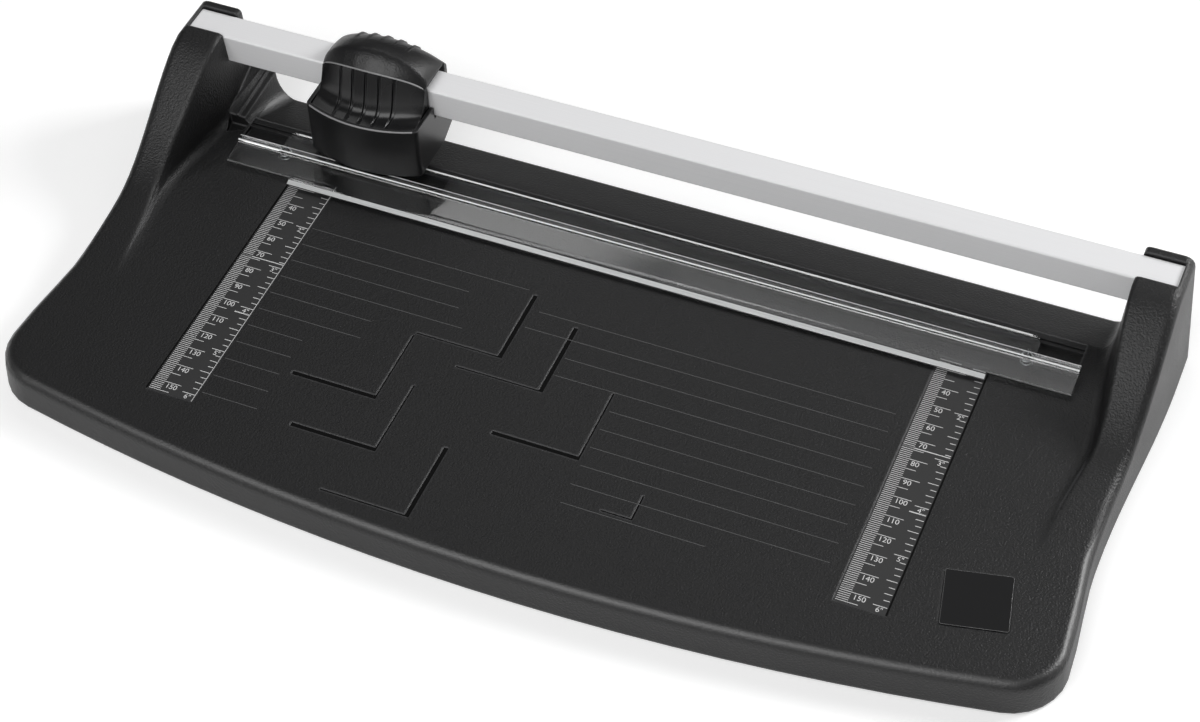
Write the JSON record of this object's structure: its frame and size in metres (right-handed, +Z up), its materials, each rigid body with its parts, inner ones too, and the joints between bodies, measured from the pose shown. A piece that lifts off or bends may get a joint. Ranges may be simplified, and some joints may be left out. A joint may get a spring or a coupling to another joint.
{
  "type": "paper trimmer",
  "caption": "Black sliding-head paper trimmer: waisted table with swept end towers, square rail, sprung cutter head with round blade, clear paper clamp and rulers.",
  "frame": {"origin": "on the floor, in the middle of the box of the whole object", "axes": "+X right along the rail, +Y to the back, from the table's front edge to the rail, +Z up"},
  "size_m": [0.457, 0.2208, 0.073],
  "materials": {
    "base_black": "fine grain",
    "foot_rubber": "matte",
    "rail_aluminium": "satin anodised",
    "nylon_dark": "satin",
    "screw_steel": "zinc plated",
    "strip_plastic": "satin",
    "ruler_black": "printed film",
    "badge_gloss": "polished",
    "clear_plastic": "clear",
    "spring_steel": "bright",
    "head_black": "satin",
    "cap_black": "satin",
    "blade_steel": "ground",
    "hub_nylon": "satin"
  },
  "bodies": {
    "base": {"base_housing": "base_black", "rubber_feet": "foot_rubber", "guide_rail": "rail_aluminium", "rail_plugs": "nylon_dark", "rail_screws": "screw_steel", "cutting_strip": "strip_plastic", "left_ruler": "ruler_black", "right_ruler": "ruler_black", "badge_plate": "badge_gloss", "clamp_springs": "spring_steel"},
    "clamp": {"paper_clamp": "clear_plastic", "clamp_screws": "screw_steel"},
    "carriage": {"slider_block": "nylon_dark", "head_body": "head_black", "body_screws": "screw_steel", "press_springs": "spring_steel"},
    "press": {"grip_cap": "cap_black", "blade_carrier": "nylon_dark", "carrier_screws": "screw_steel", "blade_axle": "screw_steel", "axle_clip": "spring_steel"},
    "blade": {"round_blade": "blade_steel", "blade_hub": "hub_nylon"}
  },
  "joints": [
    {"name": "head_slide", "type": "slide", "parent": "base", "child": "carriage", "axis": [1, 0, 0], "range_m": [-0.034, 0.3]},
    {"name": "head_press", "type": "slide", "parent": "carriage", "child": "press", "axis": [0, 0, -1], "range_m": [0, 0.002], "stiffness_N_per_m": 900, "springref_m": -0.002, "deforming": ["press_springs"]},
    {"name": "blade_spin", "type": "hinge", "parent": "press", "child": "blade", "pos_m": [-0.129, 0.08055, 0.0319], "axis": [0, 1, 0], "continuous": true},
    {"name": "clamp_press", "type": "slide", "parent": "base", "child": "clamp", "axis": [0, 0, -1], "range_m": [0, 0.0012], "stiffness_N_per_m": 300, "springref_m": -0.003, "deforming": ["clamp_springs"]}
  ]
}
